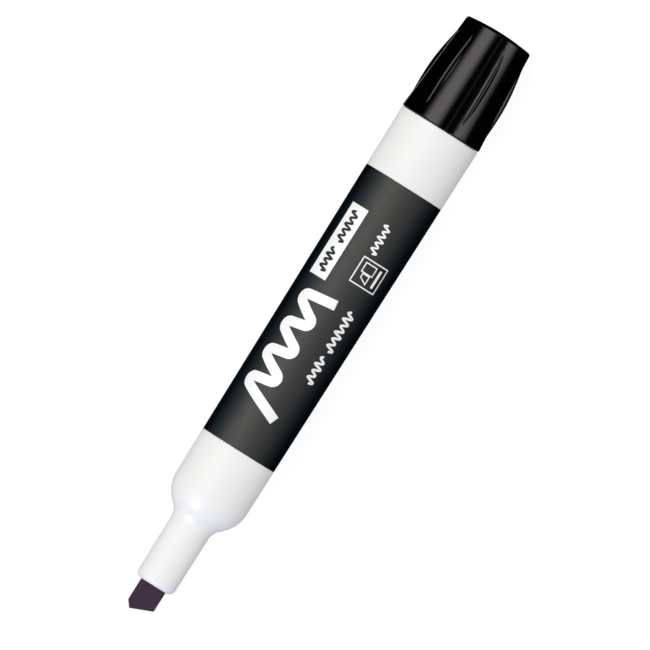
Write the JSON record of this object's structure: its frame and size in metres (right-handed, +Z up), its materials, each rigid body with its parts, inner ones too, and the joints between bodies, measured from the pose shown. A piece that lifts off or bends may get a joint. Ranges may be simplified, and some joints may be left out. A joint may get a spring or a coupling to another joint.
{
  "type": "whiteboard marker",
  "caption": "Whiteboard marker with a chisel felt nib, a narrow nozzle, a white barrel with a dark label band, and a black ribbed end cap that pulls off.",
  "frame": {"origin": "on the surface the marker lies on, under the middle of its length", "axes": "+X along the marker's axis towards its tail, the nib at -X, +Z up out of the surface"},
  "size_m": [0.1368, 0.018, 0.018],
  "materials": {
    "white_plastic": "smooth white moulded polypropylene, soft gloss",
    "black_plastic": "polished black moulded plastic",
    "label_film": "dark grey printed film with white graphics, satin",
    "nib_felt": "compressed fibre soaked with purple-black ink",
    "reservoir_fibre": "bonded fibre soaked with ink",
    "wrap_film": "thin clear film"
  },
  "bodies": {
    "barrel": {"barrel": "white_plastic", "label": "label_film", "nib": "nib_felt", "ink_reservoir": "reservoir_fibre", "reservoir_wrap": "wrap_film"},
    "end_cap": {"end_cap": "black_plastic"}
  },
  "joints": [
    {"name": "end_cap_pull", "type": "slide", "parent": "barrel", "child": "end_cap", "axis": [1, 0, 0], "range_m": [0, 0.03]}
  ]
}
